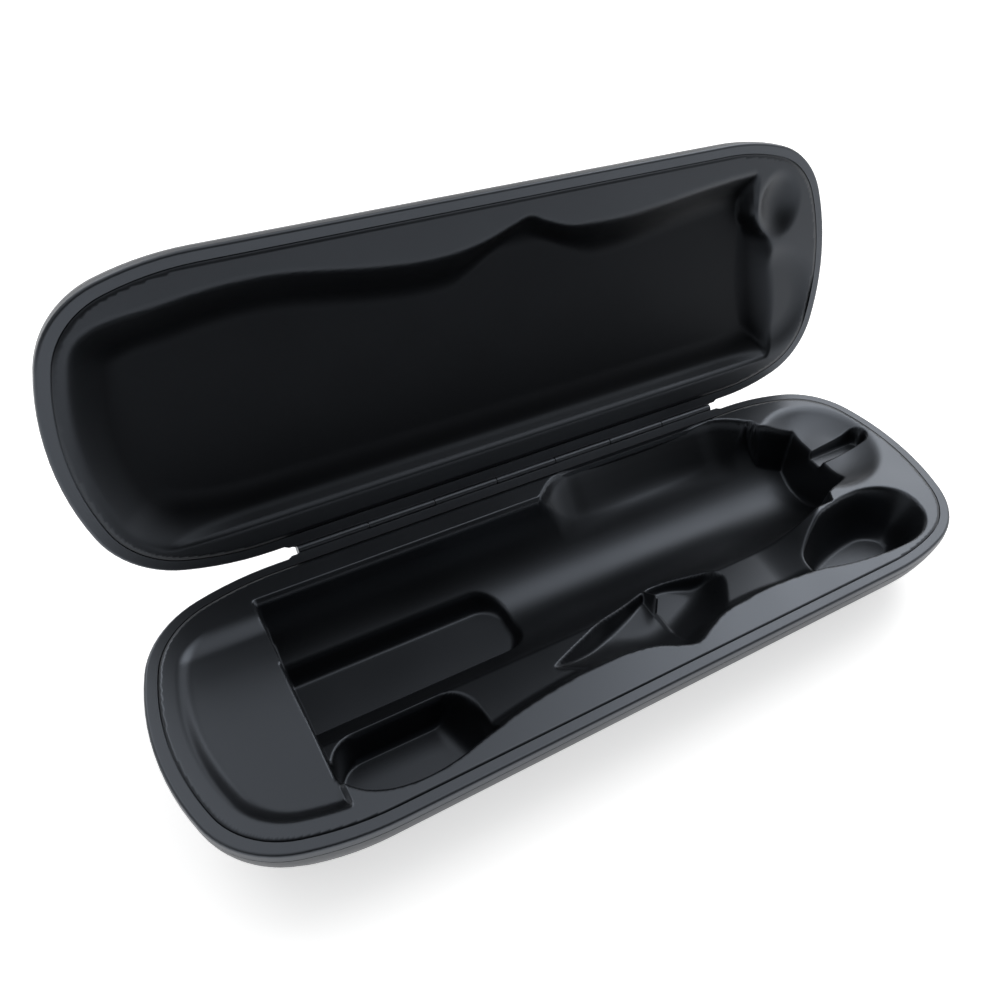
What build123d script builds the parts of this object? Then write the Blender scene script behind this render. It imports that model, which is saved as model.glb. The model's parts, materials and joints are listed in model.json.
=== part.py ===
from build123d import *
import math
import os

# Travel case for an electric toothbrush: two bowl-shaped halves on a long pin hinge, with a formed
# tray in the base and a formed liner in the lid. Millimetres. X runs along the case, +Y is the
# hinge side, +Z is up and Z = 0 is the flat foot. Each half is drawn with its mouth facing up on
# its own mouth plane; the lid's plane stands open on the hinge stop.

# ---- driving dimensions: outline of the seam between the formed inserts and the rims
SEAM_HALF_LENGTH = 115.0
SEAM_HALF_WIDTH = 39.3
END_RUN = 38.5            # length of each rounded end, up to the straight sides
SHOULDER_RADIUS = 70.0    # gentle arc that leads out of the straight side
CORNER_RADIUS = 22.0
END_RADIUS = 74.0
SEAM_GAP = 0.3            # open line around the tray and the liner

# ---- driving dimensions: shells and rims
RIM_WIDTH = 3.1           # from the seam to the widest outline of the case
RIM_HEIGHT = 2.4
RIM_EDGE_RADIUS = 0.8
GROOVE_HEIGHT = 0.35      # parting groove between rim and shell
GROOVE_DEPTH = 0.7
LEDGE_WIDTH = 2.2         # shelf of the rim that carries the insert
PLUG_HEIGHT = 2.0         # rim plug inside the mouth of the shell
PLUG_GAP = 0.55
PLUG_THICKNESS = 1.2
LEDGE_THICKNESS = 1.2
ROLL_TOP = 1.0            # depth at which the side starts to roll in
SIDE_RADIUS = 17.0
SIDE_LEAN = 27.0          # lean of the lower side, degrees from upright
BASE_DEPTH = 28.0
BASE_CORNER = 4.5
BASE_WALL = 2.2
LID_DEPTH = 21.0
LID_CORNER = 12.0
LID_WALL = 1.3

# ---- driving dimensions: hinge
HINGE_Y = 44.0
CLOSED_GAP = 0.4          # between the two mating planes when shut
OPEN_ANGLE = 103.0        # shut to the open stop
PIN_RADIUS = 0.5
PIN_CLEARANCE = 0.05
BARREL_RADIUS = 1.1
BARREL_CLEARANCE = 0.2
HINGE_END_LAND = 6.2      # straight side left past each end of the hinge barrel
HINGE_END_TAPER = 3.4
KNUCKLES = 7
KNUCKLE_GAP = 0.3
PIN_END_CAP = 0.8         # blind end of the outer knuckles
LEAF_THICKNESS = 1.2
LEAF_LAND = 0.6           # from the seam back to the leaf
STOP_REACH = 3.0          # how far the stop faces run out from the pin axis
STOP_CLEARANCE = 0.1

# ---- driving dimensions: tray in the base
TRAY_WALL = 1.2
INSERT_CLEARANCE = 0.05    # between the wells of an insert and the rim's ledge
LEFT_LAND = 29.0          # from the left end of the seam to the straight left wall of the wells
AXIS_Y = 10.8             # the handle lies along this line
TROUGH_RADIUS = 21.2
COLLAR_LAND = 24.5        # from the right end of the seam to the end wall of the collar
COLLAR_LENGTH = 11.0
COLLAR_START_HALF = 18.8
COLLAR_END_HALF = 14.2
SCOOP_LEFT = -2.0
SCOOP_BACK = 37.6
SCOOP_RISE = (6.0, 1.6)   # where the left corner bends, from the left end and from the back
SCOOP_LEFT_BEND = 16.0    # length of the curve at the left of the back edge
SCOOP_RIGHT_BEND = 18.0
SCOOP_RIGHT_RISE = (5.0, 1.5)
SCOOP_MEETING = 4.0       # the scoop ends this far inside the collar's corner
SCOOP_DEPTH = 14.0
SCOOP_FLOOR_INSET = 9.5
SCOOP_SECTION = [(0.0, 0.0), (5.0, 1.6), (10.0, 4.4)]    # depth and inset of the back wall
RECESS_LENGTH = 66.0
RECESS_HALF = 13.5
RECESS_DEPTH = 24.2
RECESS_CORNER = 9.0
RECESS_FILLET = 3.0
CHANNEL_DEPTH = 10.0
CHANNEL_END_BACK = -20.0
CHANNEL_END_SLANT = 10.0
POCKET_LENGTH = 36.0
POCKET_BACK = -9.2
POCKET_FRONT = -34.4
POCKET_FLOOR_FRONT = -27.0
POCKET_SLOPE_TOP = 5.0
POCKET_DEPTH = 22.4
POCKET_CORNER = 8.0
HEAD_CENTRE = (9.0, -15.0)
HEAD_LEVELS = [(0.0, 1.0), (10.0, 0.88), (19.5, 0.5)]
HEAD_EDGE = [(-22.0, -15.5), (-4.0, -5.0), (16.0, 0.3), (30.0, -4.5), (35.5, -13.0), (28.0, -24.0),
             (9.0, -30.6), (-12.0, -25.0)]
HEAD_DIVIDER_X = 16.0
HEAD_DIVIDER = 1.4
HEAD_DIVIDER_TOP = 12.0
CUP_EDGE = [(63.5, -25.5), (55.0, -17.2), (43.0, -13.0), (29.0, -11.2), (17.0, -13.7), (12.2, -23.0),
            (17.5, -32.7), (31.0, -35.2), (49.0, -33.0)]       # back from the right end of the seam
CUP_CENTRE = (33.0, -21.5)
CUP_LEVELS = [(0.0, 1.0), (10.0, 0.84), (17.0, 0.44)]
END_SHELF_INSET = 5.2
END_SHELF_DEPTH = 2.5
NECK_SHELF_LAND = 20.6    # from the right end of the seam to the centre
NECK_SHELF_RADIUS = 18.2
NECK_SHELF_DEEP = 4.4
NECK_SHELF_SHALLOW = 1.5
SLOT_WIDTH = 7.2
SLOT_LAND = 4.0           # from the right end of the seam to the round end
SLOT_DEPTH = 8.2

# ---- driving dimensions: liner in the lid
LINER_WALL = 0.8
PAN_DEPTH = 7.5
PAN_INSET = 3.4
PAN_HINGE_LAND = 7.0      # from the seam to the pan on the hinge side
PAN_CORNER_RUN = 1.0      # the wavy edge starts this far inside the rounded left end
PAN_WAVE_STEP = 0.8       # the liner's front edge stands this far inside the tray's
DISH_LAND = 35.0          # from the right end of the seam to the centre
DISH_RADIUS = 20.4
DISH_LEAN = 52.0
NECK_DISH_DEPTH = 1.5
BOWL_LAND = 20.4          # from the right end of the seam to the centre
BOWL_Y = 21.2
BOWL_RIM_RADIUS = 10.0
BOWL_DEPTH = 4.5

# ---- driving dimensions: closure magnets under the two widened lands of the front edge
MAGNET_X = (-17.5, 35.5)
MAGNET_Y = 33.2
MAGNET_RADIUS = 2.9
MAGNET_THICKNESS = 2.0
MAGNET_CLEARANCE = 0.05
MAGNET_CUP_WALL = 0.8

# wavy front edge of the tray opening, from the left pocket to the cup
FRONT_EDGE = [(-42.0, -30.6), (-17.0, -28.3), (0.0, -30.9), (9.0, -34.6), (18.5, -30.6),
              (36.0, -28.8), (56.0, -31.0)]
FRONT_EDGE_START = (-64.0, -34.8)
PAN_START = (17.0, -30.3)      # first point of the pan's wavy edge, from the left end of the seam
PAN_END = (25.0, -32.8)        # and its last, from the right end
LEVEL = (1, 0)                 # the edges run out along the case
CHANNEL_END_TURN = (1, -0.05)
PAN_END_TURN = (1, 0.1)

# ---- derived sizes
WELL_LEFT = LEFT_LAND - SEAM_HALF_LENGTH
COLLAR_END = SEAM_HALF_LENGTH - COLLAR_LAND
COLLAR_START = COLLAR_END - COLLAR_LENGTH
RECESS_RIGHT = WELL_LEFT + RECESS_LENGTH
POCKET_RIGHT = WELL_LEFT + POCKET_LENGTH
NECK_SHELF_X = SEAM_HALF_LENGTH - NECK_SHELF_LAND
SLOT_RIGHT = SEAM_HALF_LENGTH - SLOT_LAND
PAN_HINGE_SIDE = SEAM_HALF_WIDTH - PAN_HINGE_LAND
HINGE_HALF_LENGTH = SEAM_HALF_LENGTH - END_RUN - HINGE_END_LAND
LEAF_START = SEAM_HALF_WIDTH + LEAF_LAND
SHELL_TOP = RIM_HEIGHT + GROOVE_HEIGHT
HINGE_Z = CLOSED_GAP / 2
ABOVE = 4.0               # how far the cutting shapes stand above the mating plane
BASE_MOUTH = Plane.XY.offset(BASE_DEPTH)
HINGE = Plane((0, HINGE_Y, BASE_DEPTH + HINGE_Z))
LID_MOUTH = Plane(HINGE.rotated((180 - OPEN_ANGLE, 0, 0)).location * Location((0, HINGE_Y, -HINGE_Z)))
STOP_SLOPE = OPEN_ANGLE / 2


def circle_meeting(centre_a, radius_a, centre_b, radius_b):
    """Upper right crossing point of two circles."""
    dx, dy = centre_b[0] - centre_a[0], centre_b[1] - centre_a[1]
    gap = math.hypot(dx, dy)
    along = (radius_a**2 - radius_b**2 + gap**2) / (2 * gap)
    across = math.sqrt(radius_a**2 - along**2)
    return (centre_a[0] + (along * dx - across * dy) / gap, centre_a[1] + (along * dy + across * dx) / gap)


def angle_from(centre, point):
    return math.degrees(math.atan2(point[1] - centre[1], point[0] - centre[0]))


def rounded_outline(inset):
    """The seam outline moved in by inset: straight sides, and ends of three arcs that run tangent."""
    straight = SEAM_HALF_LENGTH - END_RUN
    shoulder = (straight, SEAM_HALF_WIDTH - SHOULDER_RADIUS)
    end = (SEAM_HALF_LENGTH - END_RADIUS, 0)
    corner = circle_meeting(end, END_RADIUS - CORNER_RADIUS, shoulder, SHOULDER_RADIUS - CORNER_RADIUS)
    corner_start = angle_from(end, corner)
    corner_stop = angle_from(shoulder, corner)
    side = SEAM_HALF_WIDTH - inset
    with BuildSketch() as outline:
        with BuildLine():
            CenterArc(end, END_RADIUS - inset, 0, corner_start)
            CenterArc(corner, CORNER_RADIUS - inset, corner_start, corner_stop - corner_start)
            CenterArc(shoulder, SHOULDER_RADIUS - inset, corner_stop, 90 - corner_stop)
            Line((straight, side), (0, side))
            mirror(about=Plane.YZ)
            mirror(about=Plane.XZ)
        make_face()
    return outline.sketch


def section_across(mouth, x):
    """A plane across the case at x, with its own X along the mouth plane's Y."""
    return Plane(mouth.from_local_coords((x, 0, 0)), x_dir=mouth.y_dir, z_dir=mouth.x_dir)


# ---- shells and rims
def bowl_profile(depth, corner, wall):
    """Depths and insets of the shell surface that lies wall inside the outer one, in three runs:
    the roll of the side, the straight leaning side and the corner down to the flat."""
    lean = math.radians(SIDE_LEAN)
    side_foot = ROLL_TOP + SIDE_RADIUS * math.sin(lean)
    corner_top = depth - corner
    wall_foot = corner_top + corner * math.sin(lean)
    wall_inset = SIDE_RADIUS * (1 - math.cos(lean)) + (wall_foot - side_foot) * math.tan(lean)
    corner_inset = wall_inset + corner * math.cos(lean)
    roll = SIDE_RADIUS - wall
    start = math.asin((SHELL_TOP - ROLL_TOP) / roll)
    side = []
    for part in (0, 0.5, 1):
        turn = start + (lean - start) * part
        side.append((ROLL_TOP + roll * math.sin(turn), SIDE_RADIUS - roll * math.cos(turn)))
    foot = []
    for part in (0, 0.35, 0.7, 1):
        turn = lean + (math.pi / 2 - lean) * part
        reach = corner - wall
        foot.append((corner_top + reach * math.sin(turn), corner_inset - reach * math.cos(turn)))
    return side, [side[-1], foot[0]], foot


def bowl(mouth, depth, corner, wall):
    """A solid bowl below the mouth plane, for the outside or the hollow of a shell."""
    with BuildPart() as body:
        for run in bowl_profile(depth, corner, wall):
            for height, inset in run:
                with BuildSketch(mouth.offset(-height)):
                    add(rounded_outline(inset - RIM_WIDTH))
            loft()
    return body.part


def shell(mouth, depth, corner, wall):
    with BuildPart() as body:
        add(bowl(mouth, depth, corner, 0))
        add(bowl(mouth, depth, corner, wall), mode=Mode.SUBTRACT)
    return body.part


def leaf_outline(margin):
    """Plan of the hinge leaf on the +Y side, with tapered ends, grown by margin."""
    half = HINGE_HALF_LENGTH + margin
    front = LEAF_START - margin
    foot = half + HINGE_END_TAPER
    taper_start = HINGE_Y - BARREL_RADIUS * 2
    back = HINGE_Y + STOP_REACH
    with BuildSketch() as plan:
        with BuildLine():
            Polyline((-foot, front), (-foot, taper_start), (-half, HINGE_Y), (-half, back), (half, back),
                     (half, HINGE_Y), (foot, taper_start), (foot, front), close=True)
        make_face()
    return plan.sketch


def rim(mouth, side, shell_wall, insert_wall):
    """Ring around the mouth: a flush band, a neck in the parting groove and a plug into the shell.
    side is +1 where the hinge lies towards the mouth plane's +Y, and -1 in the lid."""
    with BuildPart() as body:
        with BuildSketch(mouth):
            add(rounded_outline(-RIM_WIDTH))
        extrude(amount=-RIM_HEIGHT)
        top = body.faces().sort_by(Axis(mouth.origin, mouth.z_dir))[-1]
        fillet(top.edges(), RIM_EDGE_RADIUS)
        with BuildSketch(mouth.offset(-RIM_HEIGHT)):
            add(rounded_outline(GROOVE_DEPTH - RIM_WIDTH))
        extrude(amount=-GROOVE_HEIGHT)
        with BuildSketch(mouth.offset(-SHELL_TOP)):
            add(rounded_outline(shell_wall + PLUG_GAP - RIM_WIDTH))
        extrude(amount=-PLUG_HEIGHT)
        with BuildSketch(mouth):
            add(rounded_outline(0))
        extrude(amount=-insert_wall, mode=Mode.SUBTRACT)
        with BuildSketch(mouth):
            add(rounded_outline(LEDGE_WIDTH))
        extrude(amount=-SHELL_TOP - PLUG_HEIGHT, mode=Mode.SUBTRACT)
        with BuildSketch(mouth.offset(-insert_wall - LEDGE_THICKNESS)):
            add(rounded_outline(shell_wall + PLUG_GAP + PLUG_THICKNESS - RIM_WIDTH))
        extrude(amount=-SHELL_TOP - PLUG_HEIGHT, mode=Mode.SUBTRACT)
        with BuildSketch(mouth):
            add(leaf_outline(0) if side > 0 else mirror(leaf_outline(0), about=Plane.XZ))
        extrude(amount=-LEAF_THICKNESS, mode=Mode.SUBTRACT)
    return body.part


# ---- hinge
def knuckle_spans(first):
    """Start and end of every second knuckle along X, from the one numbered first."""
    pitch = 2 * HINGE_HALF_LENGTH / KNUCKLES
    return [(-HINGE_HALF_LENGTH + n * pitch, -HINGE_HALF_LENGTH + (n + 1) * pitch - KNUCKLE_GAP)
            for n in range(first, KNUCKLES, 2)]


def hinge_strip(mouth, side, first):
    """Leaf in the rim's notch, stop wedge behind it, and every second knuckle on the pin axis."""
    slope = math.radians(STOP_SLOPE)
    stop = (side * (HINGE_Y + STOP_REACH * math.cos(slope)), HINGE_Z - STOP_REACH * math.sin(slope))
    rim_back = side * (SEAM_HALF_WIDTH + RIM_WIDTH)
    leaf_start = side * LEAF_START
    axis_point = (side * HINGE_Y, HINGE_Z)
    lowered = (side * HINGE_Y, HINGE_Z - STOP_CLEARANCE / 2 / math.cos(slope))
    section = section_across(mouth, -HINGE_HALF_LENGTH - HINGE_END_TAPER)
    length = 2 * (HINGE_HALF_LENGTH + HINGE_END_TAPER)
    knuckle_section = section_across(mouth, 0)
    with BuildPart() as body:
        with BuildSketch(section):
            with BuildLine():
                Polyline((leaf_start, 0), (rim_back, 0), lowered,
                         (stop[0], stop[1] - STOP_CLEARANCE / 2 / math.cos(slope)),
                         (rim_back, -RIM_HEIGHT), (rim_back, -LEAF_THICKNESS), (leaf_start, -LEAF_THICKNESS),
                         close=True)
            make_face()
            with Locations(axis_point):
                Circle(BARREL_RADIUS + BARREL_CLEARANCE, mode=Mode.SUBTRACT)
        extrude(amount=length)
        with BuildSketch(mouth.offset(-STOP_REACH)):
            add(leaf_outline(0) if side > 0 else mirror(leaf_outline(0), about=Plane.XZ))
        extrude(amount=STOP_REACH + HINGE_Z, mode=Mode.INTERSECT)
        for start, end in knuckle_spans(first):
            with BuildSketch(knuckle_section.offset(start)):
                with Locations(axis_point):
                    Circle(BARREL_RADIUS)
                with Locations(((rim_back + axis_point[0]) / 2, -BARREL_RADIUS / 2)):
                    Rectangle(abs(axis_point[0] - rim_back), BARREL_RADIUS)
            extrude(amount=end - start)
        with BuildSketch(knuckle_section.offset(-HINGE_HALF_LENGTH + PIN_END_CAP)):
            with Locations(axis_point):
                Circle(PIN_RADIUS + PIN_CLEARANCE)
        extrude(amount=2 * HINGE_HALF_LENGTH - 2 * PIN_END_CAP - KNUCKLE_GAP, mode=Mode.SUBTRACT)
    return body.part


# ---- magnets
def magnet_pair(mouth, side, insert_wall):
    with BuildPart() as body:
        with BuildSketch(mouth.offset(-insert_wall)):
            with Locations(*[(x, -side * MAGNET_Y) for x in MAGNET_X]):
                Circle(MAGNET_RADIUS)
        extrude(amount=-MAGNET_THICKNESS)
    return body.part


def magnet_cups(mouth, side, insert_wall):
    """Open rings under an insert's flange that hold its magnets."""
    with BuildPart() as body:
        with BuildSketch(mouth.offset(-insert_wall)):
            with Locations(*[(x, -side * MAGNET_Y) for x in MAGNET_X]):
                Circle(MAGNET_RADIUS + MAGNET_CLEARANCE + MAGNET_CUP_WALL)
                Circle(MAGNET_RADIUS + MAGNET_CLEARANCE, mode=Mode.SUBTRACT)
        extrude(amount=-MAGNET_THICKNESS)
    return body.part


# ---- tray wells: each is the open space, or with grow the outside of the sheet around it
def trough(grow):
    """Half-round bed of the handle, drawn in at the right to a straight-walled collar."""
    with BuildPart() as body:
        with BuildSketch(section_across(BASE_MOUTH, WELL_LEFT - grow)):
            with Locations((AXIS_Y, 0)):
                Circle(TROUGH_RADIUS + grow)
            with Locations((AXIS_Y, ABOVE)):
                Rectangle(2 * (TROUGH_RADIUS + grow), 2 * ABOVE)
            with Locations((AXIS_Y, ABOVE + TROUGH_RADIUS)):
                Rectangle(2 * (TROUGH_RADIUS + grow), 2 * TROUGH_RADIUS, mode=Mode.SUBTRACT)
        extrude(amount=COLLAR_END - WELL_LEFT + 2 * grow)
        with BuildSketch(BASE_MOUTH.offset(-TROUGH_RADIUS - grow)) as plan:
            with BuildLine():
                Polyline((WELL_LEFT - grow, AXIS_Y - TROUGH_RADIUS - grow),
                         (COLLAR_START, AXIS_Y - TROUGH_RADIUS - grow),
                         (COLLAR_START, AXIS_Y - COLLAR_START_HALF - grow),
                         (COLLAR_END + grow, AXIS_Y - COLLAR_END_HALF - grow),
                         (COLLAR_END + grow, AXIS_Y + COLLAR_END_HALF + grow),
                         (COLLAR_START, AXIS_Y + COLLAR_START_HALF + grow),
                         (COLLAR_START, AXIS_Y + TROUGH_RADIUS + grow),
                         (WELL_LEFT - grow, AXIS_Y + TROUGH_RADIUS + grow), close=True)
            make_face()
        extrude(amount=TROUGH_RADIUS + grow + ABOVE, mode=Mode.INTERSECT)
    return body.part


def scoop_outline(inset):
    left = SCOOP_LEFT + inset
    right = COLLAR_START - inset
    back = SCOOP_BACK - inset
    start = AXIS_Y + TROUGH_RADIUS - inset
    end = AXIS_Y + COLLAR_START_HALF - SCOOP_MEETING
    back_start = (left + SCOOP_LEFT_BEND, back)
    back_end = (right - SCOOP_RIGHT_BEND, back)
    with BuildSketch() as plan:
        with BuildLine():
            Line((left, AXIS_Y), (left, start))
            Spline((left, start), (left + SCOOP_RISE[0], back - SCOOP_RISE[1]), back_start,
                   tangents=((0.3, 1), LEVEL))
            Line(back_start, back_end)
            Spline(back_end, (right - SCOOP_RIGHT_RISE[0], start + SCOOP_RIGHT_RISE[1]), (right, end),
                   tangents=(LEVEL, (0.2, -1)))
            Line((right, end), (right, AXIS_Y))
            Line((right, AXIS_Y), (left, AXIS_Y))
        make_face()
    return plan.sketch


def scoop(grow):
    """Finger scoop that widens the trough towards the hinge, with a leaning back wall."""
    with BuildPart() as body:
        for depth, inset in SCOOP_SECTION + [(SCOOP_DEPTH + grow, SCOOP_FLOOR_INSET)]:
            with BuildSketch(BASE_MOUTH.offset(-depth)):
                add(scoop_outline(inset - grow))
        loft()
        with BuildSketch(BASE_MOUTH):
            add(scoop_outline(-grow))
        extrude(amount=ABOVE)
    return body.part


def finger_recess(grow):
    """Deeper pad in the trough floor, so that a finger tips the handle up."""
    with BuildPart() as body:
        with BuildSketch(BASE_MOUTH.offset(-RECESS_DEPTH - grow)):
            with Locations(((WELL_LEFT + RECESS_RIGHT) / 2, AXIS_Y)):
                Rectangle(RECESS_RIGHT - WELL_LEFT + 2 * grow, 2 * (RECESS_HALF + grow))
            fillet(vertices().group_by(Axis.X)[-1], RECESS_CORNER + grow)
        extrude(amount=RECESS_DEPTH)
        floor = body.faces().sort_by(Axis.Z)[0]
        fillet(floor.edges(), RECESS_FILLET + grow)
    return body.part


def wavy_points(start, end, step, grow):
    """Points of the wavy edge, moved step in from the tray's and grow out again."""
    return [(start[0] - grow, start[1] - grow)] + [(x, y + step - grow) for x, y in FRONT_EDGE[:-1]] + [
        (end[0] + grow, end[1] - grow)]


def front_channel(grow):
    """Ledge between the trough and the wavy front edge of the tray opening."""
    edge = wavy_points(FRONT_EDGE_START, FRONT_EDGE[-1], 0, grow)
    left = edge[0][0]
    right = edge[-1][0]
    with BuildPart() as body:
        with BuildSketch(BASE_MOUTH.offset(-CHANNEL_DEPTH - grow)):
            with BuildLine():
                Line((left, AXIS_Y), edge[0])
                Spline(*edge, tangents=(LEVEL, CHANNEL_END_TURN))
                Line(edge[-1], (right, CHANNEL_END_BACK))
                Line((right, CHANNEL_END_BACK), (right - CHANNEL_END_SLANT, AXIS_Y))
                Line((right - CHANNEL_END_SLANT, AXIS_Y), (left, AXIS_Y))
            make_face()
        extrude(amount=CHANNEL_DEPTH + ABOVE + grow)
    return body.part


def front_pocket(grow):
    """Deep pocket at the front left, with a front wall that slopes in towards its floor."""
    with BuildPart() as body:
        with BuildSketch(section_across(BASE_MOUTH, WELL_LEFT - grow)):
            with BuildLine():
                Polyline((POCKET_BACK, ABOVE), (POCKET_BACK, -POCKET_DEPTH),
                         (POCKET_FLOOR_FRONT, -POCKET_DEPTH), (POCKET_FRONT, -POCKET_SLOPE_TOP),
                         (POCKET_FRONT, ABOVE), close=True)
            make_face()
            if grow:
                offset(amount=grow, kind=Kind.INTERSECTION)
        extrude(amount=POCKET_RIGHT - WELL_LEFT + 2 * grow)
        with BuildSketch(BASE_MOUTH.offset(-POCKET_DEPTH - grow)):
            with Locations(((WELL_LEFT + POCKET_RIGHT) / 2, (POCKET_FRONT + POCKET_BACK) / 2)):
                Rectangle(POCKET_RIGHT - WELL_LEFT + 2 * grow, POCKET_BACK - POCKET_FRONT + 2 * grow)
            fillet(vertices().group_by(Axis.X)[-1], POCKET_CORNER + grow)
        extrude(amount=POCKET_DEPTH + ABOVE + grow, mode=Mode.INTERSECT)
    return body.part


def from_right_end(points):
    """Points given by their distance back from the right end of the seam."""
    return [(SEAM_HALF_LENGTH - back, y) for back, y in points]


def drawn_in(points, centre, share, grow):
    """The points drawn in to a share of their distance from the centre, then grown out again."""
    moved = []
    for x, y in points:
        reach = math.hypot(x - centre[0], y - centre[1])
        scale = share + grow / reach
        moved.append((centre[0] + (x - centre[0]) * scale, centre[1] + (y - centre[1]) * scale))
    return moved


def curved_pocket(points, centre, levels, grow):
    """Pocket with a free outline: levels give each depth and the share of the outline left there."""
    with BuildPart() as body:
        for depth, share in levels:
            below = grow if (depth, share) == levels[-1] else 0
            with BuildSketch(BASE_MOUTH.offset(-depth - below)):
                with BuildLine():
                    Spline(*drawn_in(points, centre, share, grow), periodic=True)
                make_face()
        loft()
        with BuildSketch(BASE_MOUTH):
            with BuildLine():
                Spline(*drawn_in(points, centre, levels[0][1], grow), periodic=True)
            make_face()
        extrude(amount=ABOVE)
    return body.part


def head_pocket(grow):
    """Pocket for the brush heads in the middle of the front, three-cornered in plan."""
    return curved_pocket(HEAD_EDGE, HEAD_CENTRE, HEAD_LEVELS, grow)


def cup(grow):
    """Drop-shaped cup at the front right."""
    return curved_pocket(from_right_end(CUP_EDGE), from_right_end([CUP_CENTRE])[0], CUP_LEVELS, grow)


def end_shelf(grow):
    """Shallow D-shaped shelf past the straight left wall of the wells."""
    with BuildPart() as body:
        with BuildSketch(BASE_MOUTH.offset(-END_SHELF_DEPTH - grow)):
            add(rounded_outline(END_SHELF_INSET - grow))
            with Locations((SEAM_HALF_LENGTH + WELL_LEFT + ABOVE, 0)):
                Rectangle(2 * SEAM_HALF_LENGTH, 2 * SEAM_HALF_LENGTH, mode=Mode.SUBTRACT)
        extrude(amount=END_SHELF_DEPTH + ABOVE + grow)
    return body.part


def neck_shelf(grow):
    """Round shelf past the collar, whose floor slopes up to the right."""
    centre = (NECK_SHELF_X, AXIS_Y)
    near = NECK_SHELF_X - NECK_SHELF_RADIUS - grow
    far = NECK_SHELF_X + NECK_SHELF_RADIUS + grow
    with BuildPart() as body:
        with BuildSketch(BASE_MOUTH.offset(-2 * NECK_SHELF_DEEP)):
            with Locations(centre):
                Circle(NECK_SHELF_RADIUS + grow)
        extrude(amount=2 * NECK_SHELF_DEEP + ABOVE)
        with BuildSketch(Plane(BASE_MOUTH.origin + (0, AXIS_Y + 2 * NECK_SHELF_RADIUS, 0), x_dir=(1, 0, 0),
                               z_dir=(0, -1, 0))):
            with BuildLine():
                Polyline((near, -3 * NECK_SHELF_DEEP), (near, -NECK_SHELF_DEEP - grow),
                         (COLLAR_END, -NECK_SHELF_DEEP - grow), (far, -NECK_SHELF_SHALLOW - grow),
                         (far, -3 * NECK_SHELF_DEEP), close=True)
            make_face()
        extrude(amount=4 * NECK_SHELF_RADIUS, mode=Mode.SUBTRACT)
    return body.part


def shaft_slot(grow):
    """Narrow slot for the brush shaft, with a round end."""
    with BuildPart() as body:
        with BuildSketch(BASE_MOUTH.offset(-SLOT_DEPTH - grow)):
            with Locations(((COLLAR_END + SLOT_RIGHT - SLOT_WIDTH) / 2, AXIS_Y)):
                SlotOverall(SLOT_RIGHT - COLLAR_END + SLOT_WIDTH + 2 * grow, SLOT_WIDTH + 2 * grow)
        extrude(amount=SLOT_DEPTH + ABOVE + grow)
    return body.part


WELLS = (trough, scoop, finger_recess, front_channel, front_pocket, head_pocket, cup, end_shelf, neck_shelf,
         shaft_slot)


def head_divider():
    """Upright fin across the brush-head pocket, below the bed of the handle."""
    with BuildPart() as body:
        with BuildSketch(BASE_MOUTH.offset(-HEAD_LEVELS[-1][0] - TRAY_WALL / 2)):
            with Locations((HEAD_DIVIDER_X, AXIS_Y - TROUGH_RADIUS)):
                Rectangle(HEAD_DIVIDER, 3 * TROUGH_RADIUS)
        extrude(amount=HEAD_LEVELS[-1][0] + TRAY_WALL / 2 - HEAD_DIVIDER_TOP)
        add(head_pocket(TRAY_WALL / 2), mode=Mode.INTERSECT)
        add(trough(0), mode=Mode.SUBTRACT)
    return body.part


# ---- liner wells, on the lid's mouth plane, where +Y points to the front of the case
def pan(grow):
    """Shallow pan with a straight hinge side and a wavy front edge."""
    start = (PAN_START[0] - SEAM_HALF_LENGTH, PAN_START[1])
    edge = [(x, -y) for x, y in wavy_points(start, from_right_end([PAN_END])[0], PAN_WAVE_STEP, grow)]
    left = edge[0][0]
    right = edge[-1][0]
    with BuildPart() as body:
        with BuildSketch(LID_MOUTH.offset(-PAN_DEPTH - grow)):
            with BuildLine():
                Line((left, 0), edge[0])
                Spline(*edge, tangents=(PAN_END_TURN, PAN_END_TURN))
                Line(edge[-1], (right, -PAN_HINGE_SIDE - grow))
                Line((right, -PAN_HINGE_SIDE - grow), (left, -PAN_HINGE_SIDE - grow))
                Line((left, -PAN_HINGE_SIDE - grow), (left, 0))
            make_face()
            with Locations((left + PAN_CORNER_RUN - SEAM_HALF_LENGTH / 2, 0)):
                Rectangle(SEAM_HALF_LENGTH, 2 * SEAM_HALF_WIDTH)
            with Locations((0, -PAN_HINGE_SIDE - grow - SEAM_HALF_WIDTH / 2)):
                Rectangle(4 * SEAM_HALF_LENGTH, SEAM_HALF_WIDTH, mode=Mode.SUBTRACT)
            add(rounded_outline(PAN_INSET - grow), mode=Mode.INTERSECT)
        extrude(amount=PAN_DEPTH + ABOVE + grow)
    return body.part


def shoulder_dish(grow):
    """Coned end of the pan that meets the shoulder of the handle."""
    with BuildPart() as body:
        with BuildSketch(LID_MOUTH) as plan:
            with Locations((SEAM_HALF_LENGTH - DISH_LAND, -AXIS_Y)):
                Circle(DISH_RADIUS + grow / math.cos(math.radians(DISH_LEAN)))
        extrude(amount=ABOVE)
        extrude(plan.sketch, amount=-PAN_DEPTH - grow, taper=DISH_LEAN)
    return body.part


def neck_dish(grow):
    """Shallow round dish past the shoulder."""
    with BuildPart() as body:
        with BuildSketch(LID_MOUTH.offset(-NECK_DISH_DEPTH - grow)):
            with Locations((NECK_SHELF_X, -AXIS_Y)):
                Circle(NECK_SHELF_RADIUS + grow)
        extrude(amount=NECK_DISH_DEPTH + ABOVE + grow)
    return body.part


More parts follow.
